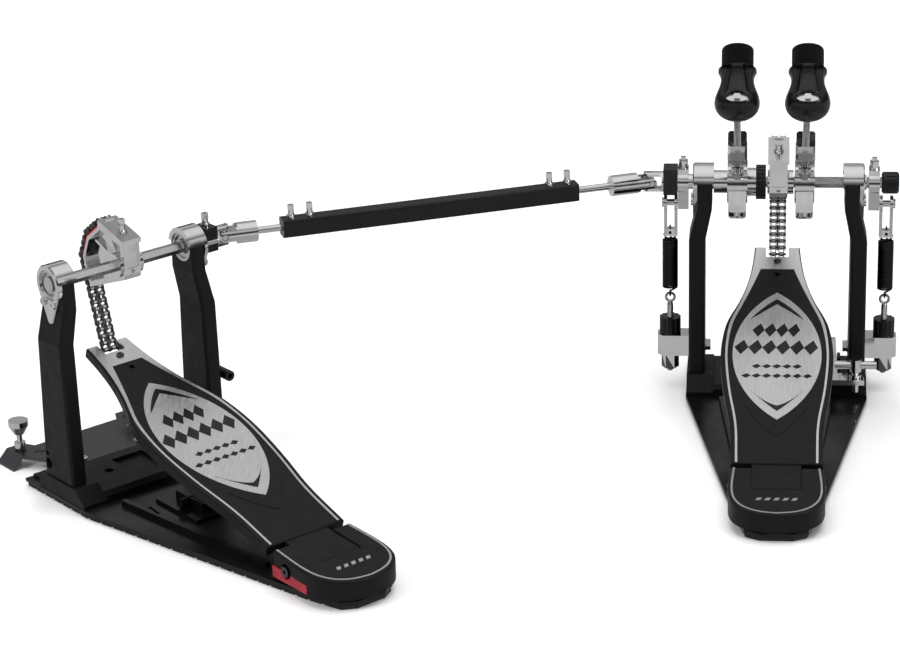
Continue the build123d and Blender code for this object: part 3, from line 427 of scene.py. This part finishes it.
def add_tension_rods():
    """Threaded rods with a bent ring eye on top."""
    mesh = bmesh.new()
    for x in (-SPRING_X, SPRING_X):
        profile = [(0.0022, 0.016)]
        threads = round((THREAD_TOP - 0.0165) / THREAD_PITCH)
        for turn in range(threads):
            height = 0.0165 + turn * THREAD_PITCH
            profile += [(0.00255, height), (0.0030, height + THREAD_PITCH / 2)]
        profile += [(0.0026, THREAD_TOP), (0.0018, THREAD_TOP + 0.002)]
        lathe_z(mesh, profile, x, 0, 20)
        centre = EYE_HEIGHT - RING_RADIUS
        arc = [math.radians(-90 + 15 * step) for step in range(25)]
        points = [Vector((x + RING_RADIUS * math.cos(a), 0, centre + RING_RADIUS * math.sin(a))) for a in arc]
        sweep(mesh, points, 0.0013, 10)
    rods = add_piece("threaded_tension_rods", mesh, "bright_steel", "frames")
    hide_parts("tension_rods")


# ---------------------------------------------------------------- chains
def link_outline(a, b, radius):
    """Figure-of-eight outline of one chain plate in the (Y, Z) plane."""
    direction = math.atan2(b[1] - a[1], b[0] - a[0])
    outline = []
    for centre, start in ((b, direction - math.pi / 2), (a, direction + math.pi / 2)):
        for step in range(9):
            angle = start + math.pi * step / 8
            outline.append((centre[0] + radius * math.cos(angle), centre[1] + radius * math.sin(angle)))
        waist = ((a[0] + b[0]) / 2, (a[1] + b[1]) / 2)
        outline.append((waist[0] - 0.0019 * math.cos(start), waist[1] - 0.0019 * math.sin(start)))
    return outline


def add_bar_x(mesh, place, y, z, radius, x0, x1, sides=14):
    angles = [2 * math.pi * k / sides for k in range(sides)]
    outline = [(y + radius * math.cos(angle), z + radius * math.sin(angle)) for angle in angles]
    add_prism(mesh, outline, place, x0, x1)


def add_chain(node, body, pedal, start, end, first_pin):
    """Double roller chain: bright rollers on each pin and three columns of dark plates."""
    upright = Matrix(((0, 0, 1, 0), (1, 0, 0, 0), (0, 1, 0, AXLE_HEIGHT), (0, 0, 0, 1)))
    place = pedal @ upright
    count = max(2, round(math.dist(start, end) / CHAIN_PITCH))
    pins = [tuple(start[k] + (end[k] - start[k]) * i / count for k in (0, 1)) for i in range(count + 1)]
    plates, rollers = bmesh.new(), bmesh.new()
    half = CHAIN_WIDTH / 2
    outer = [(-half, -half + 0.0009), (-0.0009, 0.0009), (half - 0.0009, half)]
    inner = [(-half + 0.0011, -half + 0.002), (-0.002, -0.0011)]
    inner += [(0.0011, 0.002), (half - 0.002, half - 0.0011)]
    for i, (a, b) in enumerate(zip(pins, pins[1:])):
        for x0, x1 in inner if i % 2 == 0 else outer:
            add_prism(plates, link_outline(a, b, 0.0027), place, x0, x1)
    for i, (y, z) in enumerate(pins):
        if i == 0 and not first_pin:
            continue
        add_bar_x(plates, place, y, z, 0.0011, -half - 0.0004, half + 0.0004)
        for x0 in (-half + 0.0021, 0.0021):
            add_bar_x(rollers, place, y, z, 0.0021, x0, x0 + half - 0.0042)
    chain = add_piece(f"{node}_plates", plates, "chain_steel", body)
    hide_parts(node)
    add_piece(f"{node}_rollers", rollers, "bright_steel", body)


def add_chains():
    for pedal, place in (("main", MAIN), ("slave", SLAVE)):
        points = CHAIN_POINTS + [TOE_PIN[pedal]]
        names = (("wrap", "axle", True), ("link", "link", False), ("run", "run", False))
        for (section, body, first_pin), start, end in zip(names, points, points[1:]):
            add_chain(f"{pedal}_chain_{section}", f"{pedal}_{body}", place, start, end, first_pin)


# ---------------------------------------------------------------- graphics on the footboards and heels
def curve_between(a, b, c, count=10):
    """Points on a quadratic curve from a to c, drawn towards b."""
    points = []
    for i in range(count + 1):
        s = i / count
        points.append(tuple(a[k] * (1 - s) ** 2 + 2 * b[k] * s * (1 - s) + c[k] * s**2 for k in (0, 1)))
    return points


def chevron(tip, inner_tip, arm_x, arm_y, bow):
    """Pointed V: thick at its tip and sharp at the ends of its arms."""
    middle = ((tip + arm_y) / 2 + bow * (1 if tip > arm_y else -1))
    outer = curve_between((arm_x, arm_y), (arm_x * 0.5, middle + bow * 0.3), (0, tip))
    inner_middle = middle - bow * 0.9 + (inner_tip - tip) * 0.5
    inner = curve_between((0, inner_tip), (arm_x * 0.5, inner_middle), (arm_x, arm_y))
    right = outer + inner[:-1]
    left = [(-x, y) for x, y in reversed(right)]
    return right, left


def board_place(pedal, place):
    return place @ Matrix.Translation(BOARD_START) @ Matrix.Rotation(BOARD_ANGLE[pedal], 4, "X")


def strip(mesh, place, points, half_width, low, high):
    """A flat ribbon of constant width along a polyline in the place's XY plane."""
    count = len(points)
    sides = []
    for i, (x, y) in enumerate(points):
        before, after = points[max(i - 1, 0)], points[min(i + 1, count - 1)]
        direction = Vector((after[0] - before[0], after[1] - before[1])).normalized()
        sides.append((Vector((x, y)), Vector((-direction.y, direction.x)) * half_width))
    outline = [tuple(c + n) for c, n in sides] + [tuple(c - n) for c, n in reversed(sides)]
    add_prism(mesh, outline, place, low, high)


def lozenge(x, y, half_x, half_y, slant=0.0):
    """Four corners of a lozenge, from the left one round by the top."""
    left, right = (x - half_x + slant * -half_y, y), (x + half_x, y)
    return [left, (x + slant * half_y, y + half_y), right, (x - slant * half_y, y - half_y)]


def add_board_graphics():
    """Dark chevrons and a lozenge pattern on the bright plate, and a pressed V line below it."""
    for pedal, place in (("main", MAIN), ("slave", SLAVE)):
        plane = board_place(pedal, place)
        body = f"{pedal}_board"
        marks = bmesh.new()
        for tip, inner_tip, arm_y in CHEVRONS:
            for half in chevron(tip, inner_tip, CHEVRON_ARM, arm_y, CHEVRON_BOW):
                add_prism(marks, half, plane, MARK_LOW, MARK_HIGH)
        for y, count, half_x, half_y in PATTERN_ROWS:
            for i in range(count):
                x = (i - (count - 1) / 2) * half_x * LOZENGE_PITCH
                add_prism(marks, lozenge(x, y, half_x, half_y, LOZENGE_SLANT), plane, MARK_LOW, MARK_HIGH)
        piece = add_piece(f"{pedal}_board_marks", marks, "black_plastic", body, smooth=False)
        line = bmesh.new()
        points = curve_between((-0.0266, 0.0745), (-0.0151, 0.0490), (0, 0.0363))
        points += [(-x, y) for x, y in reversed(points[:-1])]
        strip(line, plane, points, 0.0005, -0.0002, 0.0004)
        add_piece(f"{pedal}_board_pressed_line", line, "powder_coat", body, smooth=False)


def heel_plane(place):
    return place @ Matrix.Translation((0, HEEL_FRONT, HEEL_TOP)) @ Matrix.Rotation(HEEL_FALL, 4, "X")


def add_heel_graphics():
    """Bright edge line round the heel plate and a row of slanted bars in the middle."""
    bright = bmesh.new()
    for place in (MAIN, SLAVE):
        plane = heel_plane(place)
        right = [(x, y) for x, y in HEEL_LINE]
        smooth = []
        for a, b, c in zip(right, right[1:], right[2:]):
            start = ((a[0] + b[0]) / 2, (a[1] + b[1]) / 2) if a is not right[0] else a
            end = ((b[0] + c[0]) / 2, (b[1] + c[1]) / 2) if c is not right[-1] else c
            smooth += curve_between(start, b, end, 6)[:-1]
        smooth.append(right[-1])
        points = smooth + [(-x, y) for x, y in reversed(smooth[:-1])]
        strip(bright, plane, points, 0.0009, -0.0004, 0.0002)
        for i in range(HEEL_BARS):
            x = (i - (HEEL_BARS - 1) / 2) * HEEL_BAR_PITCH
            bar = [(x + across, along) for across, along in HEEL_BAR]
            add_prism(bright, bar, plane, -0.0002, 0.0002)
    add_piece("heel_edge_lines", bright, "brushed_alloy", "frames", smooth=False)


# ---------------------------------------------------------------- scene
def studio_world():
    """Grey room that darkens towards the horizon, so that polished metal shows both light and dark."""
    world = bpy.data.worlds.new("studio")
    bpy.context.scene.world = world
    world.use_nodes = True
    tree = world.node_tree
    place = tree.nodes.new("ShaderNodeTexCoord")
    axes = tree.nodes.new("ShaderNodeSeparateXYZ")
    ramp = tree.nodes.new("ShaderNodeValToRGB")
    stops = [
        (0.0, 0.45), (0.24, 0.4), (0.34, 0.62), (0.46, 0.55), (0.5, 0.03), (0.60, 0.04),
        (0.68, 0.35), (0.76, 0.7), (0.83, 0.16), (0.90, 0.8), (1.0, 0.95),
    ]
    ramp.color_ramp.elements.remove(ramp.color_ramp.elements[1])
    ramp.color_ramp.elements[0].position = stops[0][0]
    ramp.color_ramp.elements[0].color = (*[stops[0][1]] * 3, 1)
    for position, grey in stops[1:]:
        element = ramp.color_ramp.elements.new(position)
        element.color = (grey, grey, grey, 1)
    scale = tree.nodes.new("ShaderNodeMapRange")
    scale.inputs["From Min"].default_value = -1
    tree.links.new(place.outputs["Generated"], axes.inputs["Vector"])
    tree.links.new(axes.outputs["Z"], scale.inputs["Value"])
    tree.links.new(scale.outputs["Result"], ramp.inputs["Fac"])
    tree.links.new(ramp.outputs["Color"], tree.nodes["Background"].inputs["Color"])
    tree.nodes["Background"].inputs["Strength"].default_value = 0.9


def add_studio():
    """Soft lamps and a pale floor; only the small right-hand lamp shows as a reflection."""
    studio_world()
    lamps = [
        ("top_softbox", (0.1, -0.2, 2.2), (-0.2, 0, 0.1), 2.0, 34, False),
        ("left_softbox", (-1.9, -1.3, 1.4), (-0.3, -0.1, 0.1), 0.9, 26, False),
        ("right_softbox", (1.6, -1.2, 1.0), (0, 0, 0.1), 0.3, 9, True),
        ("back_softbox", (-0.3, 1.9, 1.3), (-0.2, 0, 0.1), 1.2, 16, False),
    ]
    for name, place, target, size, power, reflected in lamps:
        lamp = bpy.data.objects.new(name, bpy.data.lights.new(name, "AREA"))
        lamp.data.size = size
        lamp.data.energy = power
        lamp.location = place
        lamp.visible_glossy = reflected
        lamp.rotation_euler = (Vector(target) - Vector(place)).to_track_quat("-Z", "Y").to_euler()
        bpy.context.scene.collection.objects.link(lamp)
    mesh = bmesh.new()
    bmesh.ops.create_grid(mesh, x_segments=4, y_segments=4, size=6)
    data = bpy.data.meshes.new("floor")
    mesh.to_mesh(data)
    mesh.free()
    floor = bpy.data.objects.new("floor", data)
    look = Surface("studio_floor", (0.9, 0.9, 0.9), roughness=0.7)
    look.vary_colour(look.noise(3), 0.01)
    data.materials.append(look.material)
    bpy.context.scene.collection.objects.link(floor)
    floor.visible_glossy = False
    bpy.context.scene.view_settings.view_transform = "Standard"


add_camera()
add_studio()
dress_cad_nodes()
paint_black_parts()
for spring_side in ("left", "right"):
    add_spring(spring_side)
add_tension_rods()
add_chains()
add_board_graphics()
add_heel_graphics()
